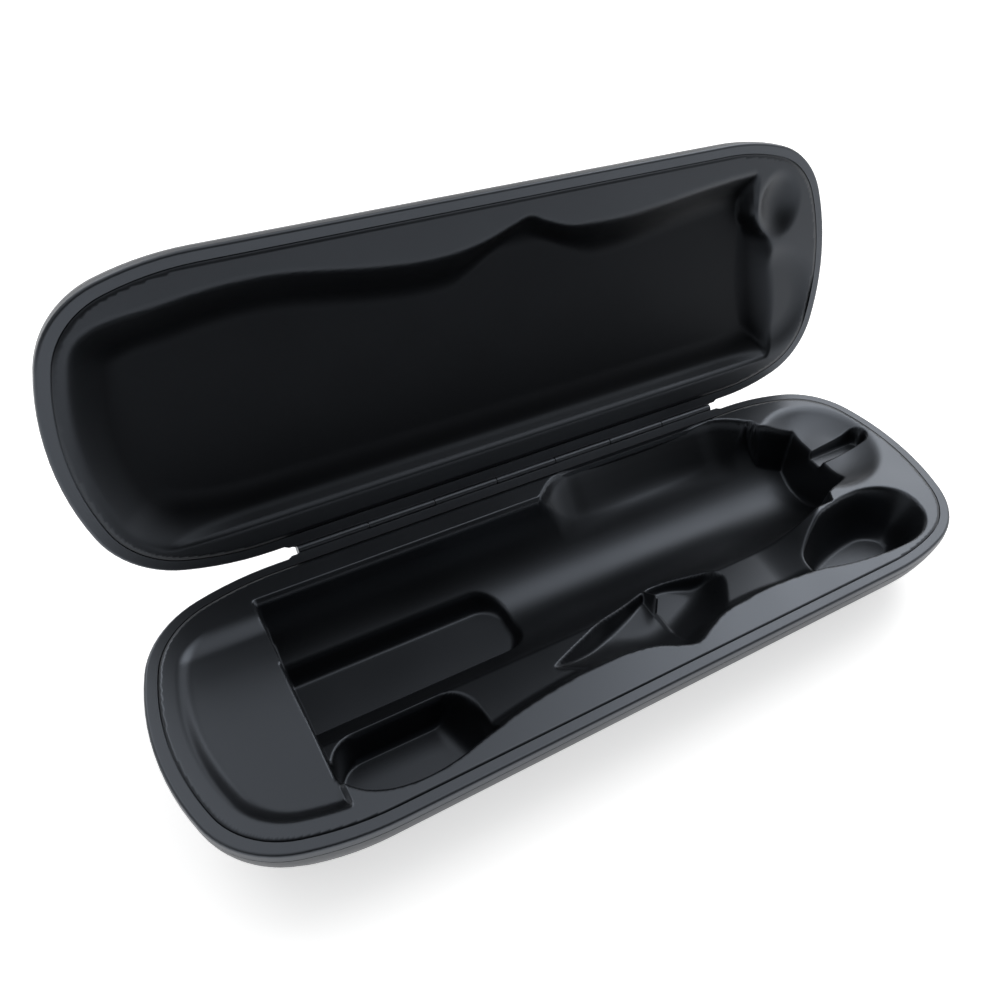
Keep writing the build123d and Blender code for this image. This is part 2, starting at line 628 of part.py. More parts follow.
def head_bowl(grow):
    """Round bowl over the end of the cup."""
    radius = (BOWL_RIM_RADIUS**2 + BOWL_DEPTH**2) / (2 * BOWL_DEPTH)
    centre = LID_MOUTH.from_local_coords((SEAM_HALF_LENGTH - BOWL_LAND, BOWL_Y, radius - BOWL_DEPTH))
    with BuildPart() as body:
        with Locations(centre):
            Sphere(radius + grow)
        with BuildSketch(LID_MOUTH.offset(ABOVE)):
            Rectangle(4 * SEAM_HALF_LENGTH, 4 * SEAM_HALF_LENGTH)
        extrude(amount=2 * radius, mode=Mode.SUBTRACT)
    return body.part


LINER_WELLS = (pan, shoulder_dish, neck_dish, head_bowl)


def well_union(wells, grow):
    with BuildPart() as body:
        for well in wells:
            add(well(grow))
    return body.part


def insert(mouth, side, wells, wall):
    """Formed sheet: a flange level with the rim, and walls of the same sheet around every well."""
    with BuildPart() as body:
        with BuildSketch(mouth.offset(-wall)):
            add(rounded_outline(SEAM_GAP))
        extrude(amount=wall)
        add(well_union(wells, wall))
        with BuildSketch(mouth):
            Rectangle(4 * SEAM_HALF_LENGTH, 4 * SEAM_HALF_LENGTH)
        extrude(amount=2 * ABOVE, mode=Mode.SUBTRACT)
        add(magnet_cups(mouth, side, wall))
        add(well_union(wells, 0), mode=Mode.SUBTRACT)
    return body.part


# ---- the pieces
def save(piece, name):
    piece.label = name
    export_step(piece, "parts/" + name + ".step")


os.makedirs("parts", exist_ok=True)

with BuildPart() as base_shell:
    add(shell(BASE_MOUTH, BASE_DEPTH, BASE_CORNER, BASE_WALL))
save(base_shell.part, "base_shell")

with BuildPart() as base_rim:
    add(rim(BASE_MOUTH, 1, BASE_WALL, TRAY_WALL))
    add(well_union(WELLS, TRAY_WALL + INSERT_CLEARANCE), mode=Mode.SUBTRACT)
save(base_rim.part, "base_rim")

with BuildPart() as base_tray:
    add(insert(BASE_MOUTH, 1, WELLS, TRAY_WALL))
    add(head_divider())
save(base_tray.part, "base_tray")

with BuildPart() as base_hinge_strip:
    add(hinge_strip(BASE_MOUTH, 1, 0))
save(base_hinge_strip.part, "base_hinge_strip")

with BuildPart() as base_magnets:
    add(magnet_pair(BASE_MOUTH, 1, TRAY_WALL))
save(base_magnets.part, "base_magnets")

with BuildPart() as hinge_pin:
    with BuildSketch(section_across(HINGE, -HINGE_HALF_LENGTH + PIN_END_CAP + PIN_CLEARANCE)):
        Circle(PIN_RADIUS)
    extrude(amount=2 * (HINGE_HALF_LENGTH - PIN_END_CAP - PIN_CLEARANCE) - KNUCKLE_GAP)
save(hinge_pin.part, "hinge_pin")

with BuildPart() as lid_shell:
    add(shell(LID_MOUTH, LID_DEPTH, LID_CORNER, LID_WALL))
save(lid_shell.part, "lid_shell")

with BuildPart() as lid_rim:
    add(rim(LID_MOUTH, -1, LID_WALL, LINER_WALL))
    add(well_union(LINER_WELLS, LINER_WALL + INSERT_CLEARANCE), mode=Mode.SUBTRACT)
save(lid_rim.part, "lid_rim")

with BuildPart() as lid_liner:
    add(insert(LID_MOUTH, -1, LINER_WELLS, LINER_WALL))
save(lid_liner.part, "lid_liner")

with BuildPart() as lid_hinge_strip:
    add(hinge_strip(LID_MOUTH, -1, 1))
save(lid_hinge_strip.part, "lid_hinge_strip")

with BuildPart() as lid_magnets:
    add(magnet_pair(LID_MOUTH, -1, LINER_WALL))
save(lid_magnets.part, "lid_magnets")
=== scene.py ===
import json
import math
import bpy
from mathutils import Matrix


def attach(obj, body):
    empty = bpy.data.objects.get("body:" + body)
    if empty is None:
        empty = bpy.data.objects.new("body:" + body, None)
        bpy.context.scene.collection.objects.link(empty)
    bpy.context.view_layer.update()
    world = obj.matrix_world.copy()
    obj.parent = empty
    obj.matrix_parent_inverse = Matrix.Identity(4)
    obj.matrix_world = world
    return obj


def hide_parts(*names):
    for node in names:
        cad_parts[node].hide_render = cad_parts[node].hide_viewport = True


bl_info = {
    "name": "Toothbrush Travel Case",
    "version": (1, 0, 0),
    "blender": (4, 5, 0),
    "location": "3D View > Sidebar > Travel Case",
    "description": "Dresses the hinged travel case: shells, rims, hinge, formed tray and liner",
    "category": "Object",
}

import bmesh
import bpy
import numpy as np
from mathutils import Matrix, Vector

MM = 0.001
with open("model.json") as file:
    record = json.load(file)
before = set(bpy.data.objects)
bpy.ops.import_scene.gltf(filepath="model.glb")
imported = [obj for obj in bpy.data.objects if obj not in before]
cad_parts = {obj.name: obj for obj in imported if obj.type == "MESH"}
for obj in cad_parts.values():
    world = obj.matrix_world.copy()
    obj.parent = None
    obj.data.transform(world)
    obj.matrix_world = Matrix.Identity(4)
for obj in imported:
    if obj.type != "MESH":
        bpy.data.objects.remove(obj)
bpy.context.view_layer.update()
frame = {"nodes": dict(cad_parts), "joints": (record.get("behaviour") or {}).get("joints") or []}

# The hinge's place in millimetres, the turn that closes the lid, and the gap between the two
# mouths when it is closed.
HINGE = next(joint for joint in frame["joints"] if joint["name"] == "lid_hinge")
HINGE_POINT = Vector(HINGE["pos_m"]) / MM
CLOSING_TURN = HINGE["range_deg"][1]
CLOSED_GAP = 0.4
BASE_DEPTH = HINGE_POINT.z - CLOSED_GAP / 2

# The mouth of each half: X along the case, Y across it and Z up out of the half.
BASE_MOUTH = Matrix.Translation((0, 0, BASE_DEPTH))
LID_MOUTH = (Matrix.Translation(HINGE_POINT)
             @ Matrix.Rotation(math.radians(180 - CLOSING_TURN), 4, "X")
             @ Matrix.Translation((0, HINGE_POINT.y, -CLOSED_GAP / 2)))


# ---- what a user would change
class OutlineSettings(bpy.types.PropertyGroup):
    """Sizes of the outline that both halves share at the seam"""
    half_length: bpy.props.FloatProperty(
        name="Half length", description="Seam outline, from centre to end, mm", default=115.0)
    half_width: bpy.props.FloatProperty(
        name="Half width", description="Seam outline, from centre to side, mm", default=39.3)
    end_run: bpy.props.FloatProperty(
        name="End run", description="Length of each rounded end, mm", default=38.5)
    shoulder_radius: bpy.props.FloatProperty(
        name="Shoulder radius", description="Arc off the straight side, mm", default=70.0)
    corner_radius: bpy.props.FloatProperty(
        name="Corner radius", description="Arc of the corner, mm", default=22.0)
    end_radius: bpy.props.FloatProperty(
        name="End radius", description="Arc of the end, mm", default=74.0)


class FinishSettings(bpy.types.PropertyGroup):
    """Colours of the plastics"""
    shell_colour: bpy.props.StringProperty(
        name="Shell colour", description="sRGB hex of the shells", default="#121315")
    rim_colour: bpy.props.StringProperty(
        name="Rim colour", description="sRGB hex of the rims and strips", default="#151618")
    tray_colour: bpy.props.StringProperty(
        name="Tray colour", description="sRGB hex of the tray", default="#0B0C0E")
    liner_colour: bpy.props.StringProperty(
        name="Liner colour", description="sRGB hex of the liner", default="#0E0F11")


# ---- outline of the case, in millimetres
def circle_meeting(centre_a, radius_a, centre_b, radius_b):
    """Upper right crossing point of two circles."""
    dx, dy = centre_b[0] - centre_a[0], centre_b[1] - centre_a[1]
    gap = math.hypot(dx, dy)
    along = (radius_a ** 2 - radius_b ** 2 + gap ** 2) / (2 * gap)
    across = math.sqrt(radius_a ** 2 - along ** 2)
    return (centre_a[0] + (along * dx - across * dy) / gap,
            centre_a[1] + (along * dy + across * dx) / gap)


def outline_arcs():
    """The three arcs of one quarter, from the end to the side: centre, radius, start and stop."""
    size = bpy.context.scene.case_outline
    end = (size.half_length - size.end_radius, 0.0)
    shoulder = (size.half_length - size.end_run, size.half_width - size.shoulder_radius)
    corner = circle_meeting(end, size.end_radius - size.corner_radius,
                            shoulder, size.shoulder_radius - size.corner_radius)
    first = math.atan2(corner[1] - end[1], corner[0] - end[0])
    second = math.atan2(corner[1] - shoulder[1], corner[0] - shoulder[0])
    return ((end, size.end_radius, 0.0, first), (corner, size.corner_radius, first, second),
            (shoulder, size.shoulder_radius, second, math.pi / 2))


def outline_distance(x, y):
    """Distance of points from the seam outline, negative inside."""
    size = bpy.context.scene.case_outline
    ax, ay = np.abs(x), np.abs(y)
    distance = ay - size.half_width
    for centre, radius, start, stop in outline_arcs():
        turn = np.arctan2(ay - centre[1], ax - centre[0])
        reach = np.hypot(ax - centre[0], ay - centre[1]) - radius
        distance = np.where((turn >= start) & (turn <= stop), reach, distance)
    return distance


# ---- fields: a number at each point of the mouth plane
def soft_min(a, b, radius):
    """The smaller of two fields, blended where they differ by less than the radius."""
    blend = np.maximum(radius - np.abs(a - b), 0) / radius
    return np.minimum(a, b) - blend * blend * radius / 4


def soft_max(a, b, radius):
    """The larger of two fields, blended in the same way."""
    return -soft_min(-a, -b, radius)


def ease(value):
    """Goes from 0 to 1 with a level start and end."""
    value = np.clip(value, 0, 1)
    return value * value * (3 - 2 * value)


def curve_through(points, x):
    """Smooth curve through the points: its height at each x."""
    px = np.array([p[0] for p in points], float)
    py = np.array([p[1] for p in points], float)
    run = np.diff(px)
    rise = np.diff(py) / run
    inner = (rise[:-1] * run[1:] + rise[1:] * run[:-1]) / (run[:-1] + run[1:])
    slope = np.concatenate(([rise[0]], inner, [rise[-1]]))
    span = np.clip(np.searchsorted(px, x) - 1, 0, len(run) - 1)
    t = np.clip((x - px[span]) / run[span], 0, 1)
    h = run[span]
    return ((1 + 2 * t) * (1 - t) ** 2 * py[span] + t * (1 - t) ** 2 * h * slope[span]
            + t * t * (3 - 2 * t) * py[span + 1] + t * t * (t - 1) * h * slope[span + 1])


def capsule(x, y, start, end, radius):
    """Distance into a bar with round ends, positive inside."""
    ax, ay = end[0] - start[0], end[1] - start[1]
    share = np.clip(((x - start[0]) * ax + (y - start[1]) * ay) / (ax * ax + ay * ay), 0, 1)
    return radius - np.hypot(x - start[0] - share * ax, y - start[1] - share * ay)


def closed_curve(points, steps=6):
    """Smooth closed curve through the points, as a fine polyline."""
    curve = []
    for n in range(len(points)):
        p0, p1, p2, p3 = (np.array(points[(n + k - 1) % len(points)], float) for k in range(4))
        for step in range(steps):
            t = step / steps
            curve.append(0.5 * (2 * p1 + (p2 - p0) * t
                                + (2 * p0 - 5 * p1 + 4 * p2 - p3) * t * t
                                + (3 * p1 - p0 - 3 * p2 + p3) * t ** 3))
    return curve


def into_curve(curve, x, y):
    """Distance into a closed curve, positive inside."""
    reach = np.full_like(x, 1e6)
    inside = np.zeros(x.shape, bool)
    for (ax, ay), (bx, by) in zip(curve, curve[1:] + curve[:1]):
        run, rise = bx - ax, by - ay
        share = np.clip(((x - ax) * run + (y - ay) * rise) / (run * run + rise * rise), 0, 1)
        reach = np.minimum(reach, np.hypot(x - ax - share * run, y - ay - share * rise))
        crossed = (ay > y) != (by > y)
        inside ^= crossed & (x < ax + (y - ay) * run / (rise if rise else 1e-9))
    return np.where(inside, reach, -reach)


def rounded_box(x, y, low, high, corner):
    """Distance into a rectangle with round corners, positive inside."""
    dx = np.abs(x - (low[0] + high[0]) / 2) - (high[0] - low[0]) / 2 + corner
    dy = np.abs(y - (low[1] + high[1]) / 2) - (high[1] - low[1]) / 2 + corner
    outside = np.hypot(np.maximum(dx, 0), np.maximum(dy, 0))
    return corner - outside - np.minimum(np.maximum(dx, dy), 0)


# ---- the tray's wells: each gives its depth below the mouth, in millimetres, at the points.
# A wall is its slope times the distance in from its edge. soft_min joins a wall to the floor, and
# its last number is the radius of that join.
NOWHERE = -20.0  # what a well gives outside its reach, so that it can't touch the others
WELL_LEFT = -86.0  # the straight left end that the trough, the recess and the channel share
STEEP = 9.0  # slope of a wall that stands almost upright
HANDLE_Y = 10.8  # middle line of the handle
TROUGH_RADIUS = 21.2
COLLAR_START = 77.0  # the collar: its shoulder starts here, and its walls and end wall follow
COLLAR_SHOULDER = 3.5
COLLAR_HALF = 15.6
COLLAR_TAPER = 0.36
COLLAR_END = 92.4
SHAFT_SLOT = ((88.0, 10.6), (108.4, 10.6), 3.5)  # both ends of its middle line, and its radius
FIN_X = 14.8  # the divider of the brush-head pocket, and half its thickness
FIN_HALF = 0.75
BOWL_TOP = 9.6  # depth of the floor in which the brush-head bowls are sunk

# Edges of the wells, as points (x, y).
FRONT_EDGE = [(-90, -17.0), (-87, -23.0), (-84.6, -27.8), (-82, -30.8), (-77.6, -33.5),
              (-72, -35.0), (-66, -35.3), (-60, -34.6), (-52, -32.6), (-40, -30.2), (-30, -28.9),
              (-17, -28.2), (-7, -28.9), (-1, -30.4), (4, -33.0), (9, -34.6), (14, -32.6),
              (20, -30.2), (30, -29.1), (40, -29.0), (50, -29.9), (60, -31.4), (72, -33.6),
              (84, -35.1)]
SCOOP_BACK = [(-7, 29.5), (-2, 32.0), (0, 33.7), (4, 36.8), (10, 39.0), (16, 39.6), (60, 39.0),
              (68, 37.9), (73.5, 35.4), (77.2, 32.6), (80.5, 28.2), (84, 22)]
HEAD_BACK = [(-24, -17.0), (-16, -13.6), (-9.5, -11.0), (-3.8, -8.4), (1.9, -6.4), (7, -4.4),
             (12, -2.0), (16, -0.6), (21, -0.8), (26, -2.6), (31, -5.6), (34.5, -8.6), (36, -12)]
HEAD_FRONT = [(-24, -16.6), (-16, -20.5), (-4, -25.0), (9, -29.5), (20, -26.5), (29, -21.5),
              (36, -13)]
CUP_RIM = closed_curve([(54.5, -25.5), (57.5, -19.5), (64, -15.2), (72, -12.6), (81, -11.0),
                        (89, -10.9), (96, -12.8), (101, -16.8), (102.8, -22.0), (101.8, -27.8),
                        (98.5, -32.0), (94, -34.4), (88, -35.4), (80, -35.2), (71, -34.2),
                        (63, -32.6), (57.5, -30.4)])


def collar_half(x):
    """Half width of the trough: full up to the shoulder, then the straight walls of the collar."""
    shoulder_end = COLLAR_START + COLLAR_SHOULDER
    narrowed = (TROUGH_RADIUS - COLLAR_HALF) * ease((x - COLLAR_START) / COLLAR_SHOULDER)
    return TROUGH_RADIUS + 2 - narrowed - np.maximum(x - shoulder_end, 0) * COLLAR_TAPER


def trough_depth(x, y):
    """The round bed of the handle, with its collar and the straight wall at the collar's end."""
    across = np.abs(y - HANDLE_Y)
    bed = np.sqrt(np.maximum(TROUGH_RADIUS ** 2 - across ** 2, 0))
    bed = np.where(across > TROUGH_RADIUS, (TROUGH_RADIUS - across) * STEEP, bed)
    collar_wall, end_wall = (collar_half(x) - across) * 5.0, (92.6 - x) * 4.6
    bed = soft_min(soft_min(bed, collar_wall, 1.5), end_wall, 2.2)
    return np.minimum(bed, (x - WELL_LEFT) * STEEP)


def scoop_depth(x, y):
    """The finger scoop that opens the trough to the back."""
    inside = curve_through(SCOOP_BACK, x) - y
    wall = soft_min(inside * 2.6, 1.6 + inside * 1.12, 2.0)
    floor = soft_min(13.4 + 0.3 * (28.0 - y), 14.6, 1.5)
    left_end, right_end = (x + 8) * 1.4 + 2, (81.5 - x) * 1.6
    depth = soft_min(soft_min(soft_min(wall, floor, 2.4), left_end, 5.0), right_end, 4.0)
    return np.where((x > -9) & (x < 82) & (y > HANDLE_Y), depth, NOWHERE)


def finger_recess_depth(x, y):
    """The deep recess under the left half of the trough."""
    inside = rounded_box(x, y, (-130, -3.8), (-19.5, 23.8), 11.0)
    depth = soft_min(np.minimum(9.0 + inside * 4.2, 32.0), 24.4, 5.0)
    return soft_min(depth, (x - WELL_LEFT) * STEEP, 1.5)


def channel_depth(x, y):
    """The shallow channel along the front, which runs out before the cup."""
    front = (y - curve_through(FRONT_EDGE, x)) * 2.2
    floor = 8.7 + 0.14 * (y + 28)
    right_end = 5.0 + (59.5 - x + 0.35 * (y + 25)) * 0.75
    depth = soft_min(soft_min(front, floor, 6.0), right_end, 5.0)
    depth = soft_min(depth, (x - WELL_LEFT) * STEEP, 1.5)
    return np.where((y < HANDLE_Y) & (x < 72), depth, NOWHERE)


def front_pocket_depth(x, y):
    """The deep pocket at the front left, with a rounded shoulder on its right."""
    inside = rounded_box(x, y, (-85.2, -50.0), (-46.0, -8.9), 9.0)
    shoulder = 10.0 + (-46.5 - x - 0.25 * (y + 20)) * 2.3
    front = (y - curve_through(FRONT_EDGE, x)) * 3.2
    return soft_min(soft_min(soft_min(inside * 11.0, 22.8, 4.0), shoulder, 7.0), front, 4.0)


def fin_inside(x, y):
    """Distance into the divider of the brush-head pocket."""
    return FIN_HALF - np.abs(x - FIN_X)


def head_pocket_depth(x, y):
    """Two bowls for brush heads, sunk in the channel's floor, with the divider between them."""
    steep_back = (curve_through(HEAD_BACK, x) - y) * 5.0
    inside = y - curve_through(HEAD_FRONT, x)
    left = soft_min(steep_back, 1.6 + inside * 0.9, 2.5)
    right = soft_min(steep_back, 1.4 + inside * 1.0, 2.5)
    right = soft_min(right, (37.0 - x) * 1.8, 4.0)
    bowl = np.where(x < FIN_X, soft_min(left, 9.6, 6.0), soft_min(right, 9.8, 6.0))
    fin_top = np.where(y > -9.5, 2.2 - 0.12 * y, 8.8)
    bowl = np.where((fin_inside(x, y) > 0) & (bowl > fin_top), fin_top, bowl)
    depth = soft_min(BOWL_TOP + bowl, (y - curve_through(FRONT_EDGE, x)) * 2.4, 4.0)
    return np.where((x > -24) & (x < 44), depth, NOWHERE)


def cup_inside(x, y):
    """Distance into the rim of the cup."""
    return into_curve(CUP_RIM, x, y)


def cup_depth(x, y):
    """The cup at the front right, with a saddle that rises to the left."""
    wall = cup_inside(x, y) * (2.9 - 1.1 * ease((x - 86) / 14))
    saddle = 5.4 + np.maximum(x - 58.0 - 0.1 * (y + 26), 0) * 1.9
    return soft_min(soft_min(wall, 16.2, 5.0), saddle, 4.5)


def end_shelf_depth(x, y):
    """The shallow D-shaped shelf at the left end, which fades out towards the back."""
    inside = -(outline_distance(x, y) + 4.8)
    depth = soft_min(inside * 1.2, 2.7 - 1.7 * ease((y + 25) / 40), 2.2)
    depth = depth - 3.0 * ease((y - 21) / 13)
    return np.where(x < WELL_LEFT + 1, depth, NOWHERE)


def neck_shelf_depth(x, y):
    """The round shelf at the right end, which rises outwards."""
    inside = 19.8 - np.hypot(x - 92.6, y - 11.4)
    floor = 4.6 - 3.0 * np.clip((x - 91) / 21, 0, 1)
    return np.where(x > 74, soft_min(inside * 0.55, floor, 3.0), NOWHERE)


def shaft_slot_depth(x, y):
    """The slot for the handle's shaft."""
    return soft_min(capsule(x, y, *SHAFT_SLOT) * 7.0, 7.0, 1.2)


# Each well with the radius that blends it into the ones before it.
TRAY_WELLS = ((scoop_depth, 2.4), (trough_depth, 2.0), (finger_recess_depth, 2.0),
              (channel_depth, 6.5), (front_pocket_depth, 2.6), (head_pocket_depth, 0.8),
              (cup_depth, 1.6), (end_shelf_depth, 0.8), (neck_shelf_depth, 2.0),
              (shaft_slot_depth, 0.6))


# Lines that the grid is drawn on to, so that a crisp edge stays straight: each is a distance from
# the line where the line runs, and OFF_LINE elsewhere.
OFF_LINE = 9.0
TRAY_CREASES = (
    lambda x, y: np.where(np.abs(y - 0.5) < 33, x - WELL_LEFT, OFF_LINE),
    lambda x, y: np.where((x > COLLAR_START) & (x < COLLAR_END),
                          collar_half(x) - np.abs(y - HANDLE_Y), OFF_LINE),
    lambda x, y: np.where(np.abs(y - HANDLE_Y) < 13.5, x - COLLAR_END, OFF_LINE),
    lambda x, y: np.where(x > COLLAR_END, capsule(x, y, *SHAFT_SLOT), OFF_LINE),
    cup_inside,
    lambda x, y: np.where(x < 82, curve_through(SCOOP_BACK, x) - y, OFF_LINE),
    lambda x, y: np.where((x > -23) & (x < 35), curve_through(HEAD_BACK, x) - y, OFF_LINE),
    lambda x, y: np.where((y > -26) & (y < -1), fin_inside(x, y), OFF_LINE),
    lambda x, y: np.where(x < 56, y - curve_through(FRONT_EDGE, x), OFF_LINE))


# ---- the liner's wells, on the lid's mouth plane, where +Y points to the front of the case
PAN_EDGE = [(-120, 28), (-97, 30.1), (-88, 30.7), (-80, 31.8), (-67, 32.7), (-57, 32.0),
            (-50, 30.9), (-37, 28.8), (-22, 27.5), (-13, 27.9), (-3, 29.9), (3.5, 32.2),
            (8.5, 33.7), (13.3, 31.3), (20, 28.7), (30, 27.8), (40, 27.8), (53, 29.2),
            (67, 30.9), (84, 32.5), (96, 33.0)]
# The pan's right end wall, as points (y, x): its top and its foot.
PAN_END_TOP = [(-38, 91.0), (-29.5, 96.3), (-24, 98.8), (-18.5, 100.1), (-9.9, 100.5), (-4, 99.6),
               (2.1, 97.6), (7, 95.4), (11.2, 93.1), (13.7, 90.2), (17.3, 88.2), (24, 88.2),
               (31, 88.4), (40, 86.4)]
PAN_END_FOOT = [(-38, 96.0), (-30, 93.5), (-23, 90.5), (-9.2, 87.9), (10.3, 87.4), (32, 86.6)]
PAN_FLOOR = 7.4


def pan_depth(x, y):
    """The wide pan: a wavy wall in front, with its notch steeper, and a shaped right end."""
    wavy = (curve_through(PAN_EDGE, x) - y) * (0.9 + 0.9 * ease(1 - np.abs(x - 9) / 24))
    back = (y + 32.3) * 3.2
    left_end = -(outline_distance(x, y) + 3.2) * 0.85
    top, foot = curve_through(PAN_END_TOP, y), curve_through(PAN_END_FOOT, y)
    right_end = PAN_FLOOR * (top - x) / np.maximum(top - foot, 2.0)
    depth = soft_min(soft_min(wavy, PAN_FLOOR, 4.0), back, 2.4)
    return soft_min(soft_min(depth, left_end, 4.5), right_end, 1.4)


def neck_dish_depth(x, y):
    """The faint round dish beside the pan's right end."""
    inside = 18.6 - np.hypot(x - 95.2, y + 11.8)
    return soft_min(inside * 0.4, 1.8, 1.6)


def head_bowl_depth(x, y):
    """The small oval bowl at the right end."""
    return 2.6 - 2.6 * (((x - 97.4) / 8.0) ** 2 + ((y - 20.8) / 10.0) ** 2)


LINER_WELLS = ((pan_depth, 1.2), (neck_dish_depth, 0.8), (head_bowl_depth, 0.6))
LINER_CREASES = (lambda x, y: curve_through(PAN_EDGE, x) - y,)


# ---- formed sheets
LIP_RADIUS = 0.9  # join between every well and the flat land
BORDER_PASSES = 3
CREASE_REACH = 0.48  # share of a grid cell: the nearest row moves on to the line, and no other


def joined_depth(wells, x, y):
    """Depth of all the wells together, each blended into the ones before it."""
    depth = np.full_like(x, NOWHERE)
    for well, radius in wells:
        depth = soft_max(depth, np.maximum(well(x, y), NOWHERE), radius)
    return soft_max(depth, np.zeros_like(x), LIP_RADIUS)


def slope_of(field, x, y, step=0.05):
    """Value of a field at the points, and its slope along X and Y."""
    here = field(x, y)
    return here, (field(x + step, y) - here) / step, (field(x, y + step) - here) / step


def drawn_to(field, x, y, reach):
    """Moves the points that lie within reach of the field's zero line on to it."""
    here, slope_x, slope_y = slope_of(field, x, y)
    steep = np.maximum(slope_x ** 2 + slope_y ** 2, 1e-6)
    near = (np.abs(here) < reach * np.sqrt(steep)) & (steep > 0.2) & (steep < 3.0)
    return (x - np.where(near, here * slope_x / steep, 0),
            y - np.where(near, here * slope_y / steep, 0))


def places(mesh):
    """X and Y of the mesh's points, as two arrays."""
    mesh.verts.ensure_lookup_table()
    place = np.array([v.co[:2] for v in mesh.verts])
    return place[:, 0], place[:, 1]


def formed_sheet(wells, creases, cell, gap, wall):
    """A fine grid cut to the seam outline and pressed down to the depth of the wells."""
    size = bpy.context.scene.case_outline
    mesh = bmesh.new()
    bmesh.ops.create_grid(mesh, x_segments=round(2 * size.half_length / cell),
                          y_segments=round(2 * size.half_width / cell), size=1.0)
    bmesh.ops.scale(mesh, vec=(size.half_length, size.half_width, 1), verts=mesh.verts)
    past = outline_distance(*places(mesh)) + gap
    bmesh.ops.delete(mesh, geom=[v for v, d in zip(list(mesh.verts), past) if d > 0],
                     context="VERTS")
    x, y = places(mesh)
    border = np.array([v.is_boundary for v in mesh.verts])
    for _ in range(BORDER_PASSES):
        edge_x, edge_y = drawn_to(lambda a, b: outline_distance(a, b) + gap, x, y, 2 * cell)
        x, y = np.where(border, edge_x, x), np.where(border, edge_y, y)
    for crease in creases:
        edge_x, edge_y = drawn_to(crease, x, y, cell * CREASE_REACH)
        x, y = np.where(border, x, edge_x), np.where(border, y, edge_y)
    for v, along, across, depth in zip(mesh.verts, x, y, joined_depth(wells, x, y)):
        v.co = (along, across, -depth)
    grown = bmesh.ops.extrude_edge_only(mesh, edges=[e for e in mesh.edges if e.is_boundary])
    for v in grown["geom"]:
        if isinstance(v, bmesh.types.BMVert):
            v.co.z -= wall
    bmesh.ops.recalc_face_normals(mesh, faces=mesh.faces)
    if sum(f.normal.z for f in mesh.faces) < 0:
        bmesh.ops.reverse_faces(mesh, faces=mesh.faces)
    return mesh


def new_piece(name, mesh_data, mouth, body, finish, replaced):
    """Places a mesh drawn in millimetres on a mouth plane, hangs it on its body and hides the part
    that it replaces.
    """
    mesh = bpy.data.meshes.new(name)
    mesh_data.transform(Matrix.Scale(MM, 4) @ mouth)
    mesh_data.to_mesh(mesh)
    mesh_data.free()
    for face in mesh.polygons:
        face.use_smooth = True
    piece = bpy.data.objects.new(name, mesh)
    bpy.context.scene.collection.objects.link(piece)
    mesh.materials.append(finish)
    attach(piece, body)
    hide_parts(replaced)


# ---- materials
DRIFT_MM = 40  # how far apart the gloss changes, as moulded plastic cools unevenly
DULLER, SHINIER = 0.04, 0.03  # how far the roughness drifts either way
GRAIN_MM = 0.5  # real spark-eroded grain is about 0.05 mm: it is drawn coarser, so that it shows
GRAIN_HEIGHT_MM = 0.05
GRAIN_STRENGTH = 0.12
SHADE_START_MM, SHADE_FULL_MM = 0.5, 6  # depths between which the sheen is lowered: a painted shade that darkens the wells


def linear(hex_colour):
    """sRGB hex to linear RGBA."""
    channels = [int(hex_colour[n:n + 2], 16) / 255 for n in (1, 3, 5)]
    return tuple(c / 12.92 if c <= 0.04045 else ((c + 0.055) / 1.055) ** 2.4
                 for c in channels) + (1.0,)


def add_node(tree, kind, settings=None, **links):
    """Adds a node, sets its inputs and properties, and links outputs to inputs by identifier."""
    node = tree.nodes.new(kind)
    inputs = {socket.identifier: socket for socket in node.inputs}
    for key, value in (settings or {}).items():
        if key in inputs:
            inputs[key].default_value = value
        else:
            setattr(node, key, value)
    for key, output in links.items():
        tree.links.new(output, inputs[key])
    return node


def plain_material(name, **settings):
    """A material with one shader, and settings for its sockets. Gives it and the shader."""
    material = bpy.data.materials.new(name)
    material.use_nodes = True
    shader = material.node_tree.nodes["Principled BSDF"]
    for key, value in settings.items():
        shader.inputs[key.replace("_", " ")].default_value = value
    return material, shader


def moulded_plastic(name, hex_colour, roughness, sheen):
    """Satin black moulded plastic: almost all that the eye gets is its sheen, with a painted blue
    tint that stands for the blue of the studio's light.

    Its spark-eroded grain and a gloss that drifts a little give highlights a soft, uneven edge.
    """
    # The blue tint of the sheen is painted light: the blue of the studio's light, set in the
    # plastic and not in the lamps.
    material, shader = plain_material(name, Base_Color=linear(hex_colour),
                                      Specular_IOR_Level=sheen, Specular_Tint=linear("#E6F0FF"))
    tree = material.node_tree
    place = add_node(tree, "ShaderNodeTexCoord").outputs["Object"]
    drift = add_node(tree, "ShaderNodeTexNoise", {"Scale": 1 / (DRIFT_MM * MM), "Detail": 2.0},
                     Vector=place)
    gloss = add_node(tree, "ShaderNodeMapRange",
                     {"From Min": 0.3, "From Max": 0.7, "To Min": roughness - SHINIER,
                      "To Max": roughness + DULLER}, Value=drift.outputs["Fac"])
    tree.links.new(gloss.outputs["Result"], shader.inputs["Roughness"])
    grain = add_node(tree, "ShaderNodeTexNoise", {"Scale": 1 / (GRAIN_MM * MM), "Detail": 1.0},
                     Vector=place)
    bump = add_node(tree, "ShaderNodeBump",
                    {"Strength": GRAIN_STRENGTH, "Distance": GRAIN_HEIGHT_MM * MM},
                    Height=grain.outputs["Fac"])
    tree.links.new(bump.outputs["Normal"], shader.inputs["Normal"])
    return material


